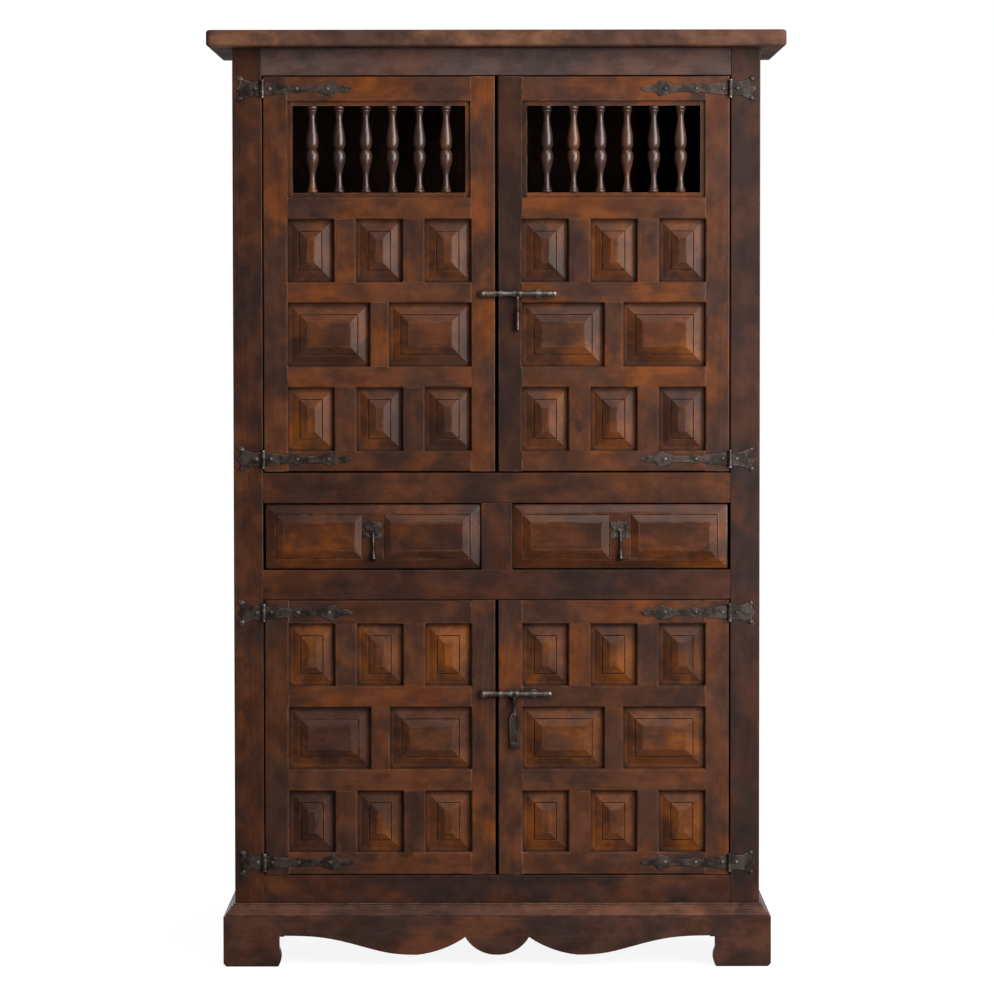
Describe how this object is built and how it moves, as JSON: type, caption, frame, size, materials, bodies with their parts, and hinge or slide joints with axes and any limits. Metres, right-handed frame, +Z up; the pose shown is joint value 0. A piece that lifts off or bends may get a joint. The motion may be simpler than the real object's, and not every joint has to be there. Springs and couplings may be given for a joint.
{
  "type": "trastero cabinet",
  "caption": "Tall two-stage wooden cupboard with spindled upper doors, raised panels, a pair of drawers, iron strap hinges, sliding bolts and a scalloped plinth.",
  "frame": {"origin": "on the floor, under the middle of the top board's outline", "axes": "+X to the viewer's right, -Y out of the front, +Z up"},
  "size_m": [1.132, 0.45, 1.84],
  "materials": {
    "stained_pine": "walnut-stained pine under satin lacquer, worn lighter at the arrises",
    "stained_pine_panels": "walnut-stained pine panels, more orange, with dark glaze in the quirks",
    "carcass_boards": "dark-stained pine boards under satin lacquer",
    "raw_pine": "unfinished pine inside and at the back, thinly stained",
    "forged_iron": "hand-forged iron, brown-black, waxed, bright where it is handled"
  },
  "bodies": {
    "carcass": {"side_boards": "carcass_boards", "front_stiles": "carcass_boards", "top_rail": "carcass_boards", "drawer_rails": "carcass_boards", "bottom_rail": "carcass_boards", "drawer_divider": "carcass_boards", "top_board": "carcass_boards", "back_boards": "raw_pine", "cupboard_floors": "raw_pine", "shelves": "raw_pine", "shelf_battens": "raw_pine", "door_stops": "raw_pine", "drawer_runners": "raw_pine", "front_apron": "carcass_boards", "side_aprons": "carcass_boards", "foot_blocks": "raw_pine", "base_moulding": "carcass_boards", "hinge_leaves": "forged_iron", "hinge_leaf_nails": "forged_iron", "hinge_pins": "forged_iron"},
    "upper_left_door": {"upper_left_door_stiles": "stained_pine", "upper_left_door_rails": "stained_pine", "upper_left_door_panels": "stained_pine_panels", "upper_left_door_spindles": "stained_pine", "upper_left_door_hinge_straps": "forged_iron", "upper_left_door_hinge_nails": "forged_iron", "upper_bolt_keeper": "forged_iron"},
    "upper_right_door": {"upper_right_door_stiles": "stained_pine", "upper_right_door_rails": "stained_pine", "upper_right_door_panels": "stained_pine_panels", "upper_right_door_spindles": "stained_pine", "upper_right_door_hinge_straps": "forged_iron", "upper_right_door_hinge_nails": "forged_iron", "upper_bolt_staples": "forged_iron"},
    "lower_left_door": {"lower_left_door_stiles": "stained_pine", "lower_left_door_rails": "stained_pine", "lower_left_door_panels": "stained_pine_panels", "lower_left_door_hinge_straps": "forged_iron", "lower_left_door_hinge_nails": "forged_iron", "lower_bolt_keeper": "forged_iron"},
    "lower_right_door": {"lower_right_door_stiles": "stained_pine", "lower_right_door_rails": "stained_pine", "lower_right_door_panels": "stained_pine_panels", "lower_right_door_hinge_straps": "forged_iron", "lower_right_door_hinge_nails": "forged_iron", "lower_bolt_staples": "forged_iron"},
    "left_drawer": {"left_drawer_front": "stained_pine_panels", "left_drawer_box": "raw_pine", "left_drawer_bottom": "raw_pine", "left_drawer_pull_plate": "forged_iron"},
    "left_drawer_drop": {"left_drawer_pull_drop": "forged_iron"},
    "right_drawer": {"right_drawer_front": "stained_pine_panels", "right_drawer_box": "raw_pine", "right_drawer_bottom": "raw_pine", "right_drawer_pull_plate": "forged_iron"},
    "right_drawer_drop": {"right_drawer_pull_drop": "forged_iron"},
    "upper_bolt": {"upper_bolt": "forged_iron"},
    "upper_bolt_handle": {"upper_bolt_handle": "forged_iron"},
    "lower_bolt": {"lower_bolt": "forged_iron"},
    "lower_bolt_handle": {"lower_bolt_handle": "forged_iron"}
  },
  "joints": [
    {"name": "upper_left_door_hinge", "type": "hinge", "parent": "carcass", "child": "upper_left_door", "pos_m": [-0.459, -0.1798, 1.3644], "axis": [0, 0, -1], "range_deg": [0, 165]},
    {"name": "upper_right_door_hinge", "type": "hinge", "parent": "carcass", "child": "upper_right_door", "pos_m": [0.459, -0.1798, 1.3644], "axis": [0, 0, 1], "range_deg": [0, 165]},
    {"name": "lower_left_door_hinge", "type": "hinge", "parent": "carcass", "child": "lower_left_door", "pos_m": [-0.459, -0.1798, 0.451], "axis": [0, 0, -1], "range_deg": [0, 165]},
    {"name": "lower_right_door_hinge", "type": "hinge", "parent": "carcass", "child": "lower_right_door", "pos_m": [0.459, -0.1798, 0.451], "axis": [0, 0, 1], "range_deg": [0, 165]},
    {"name": "left_drawer_slide", "type": "slide", "parent": "carcass", "child": "left_drawer", "axis": [0, -1, 0], "range_m": [0, 0.28]},
    {"name": "left_drawer_drop_swing", "type": "hinge", "parent": "left_drawer", "child": "left_drawer_drop", "pos_m": [-0.2435, -0.1824, 0.86125], "axis": [-1, 0, 0], "range_deg": [0, 90]},
    {"name": "right_drawer_slide", "type": "slide", "parent": "carcass", "child": "right_drawer", "axis": [0, -1, 0], "range_m": [0, 0.28]},
    {"name": "right_drawer_drop_swing", "type": "hinge", "parent": "right_drawer", "child": "right_drawer_drop", "pos_m": [0.2435, -0.1824, 0.86125], "axis": [-1, 0, 0], "range_deg": [0, 90]},
    {"name": "upper_bolt_slide", "type": "slide", "parent": "upper_right_door", "child": "upper_bolt", "axis": [-1, 0, 0], "range_m": [0, 0.014]},
    {"name": "upper_bolt_handle_swing", "type": "hinge", "parent": "upper_bolt", "child": "upper_bolt_handle", "pos_m": [0.041, -0.1846, 1.326], "axis": [-1, 0, 0], "range_deg": [0, 100]},
    {"name": "lower_bolt_slide", "type": "slide", "parent": "lower_right_door", "child": "lower_bolt", "axis": [-1, 0, 0], "range_m": [0, 0.014]},
    {"name": "lower_bolt_handle_swing", "type": "hinge", "parent": "lower_bolt", "child": "lower_bolt_handle", "pos_m": [0.0345, -0.1846, 0.538], "axis": [-1, 0, 0], "range_deg": [0, 100]}
  ]
}
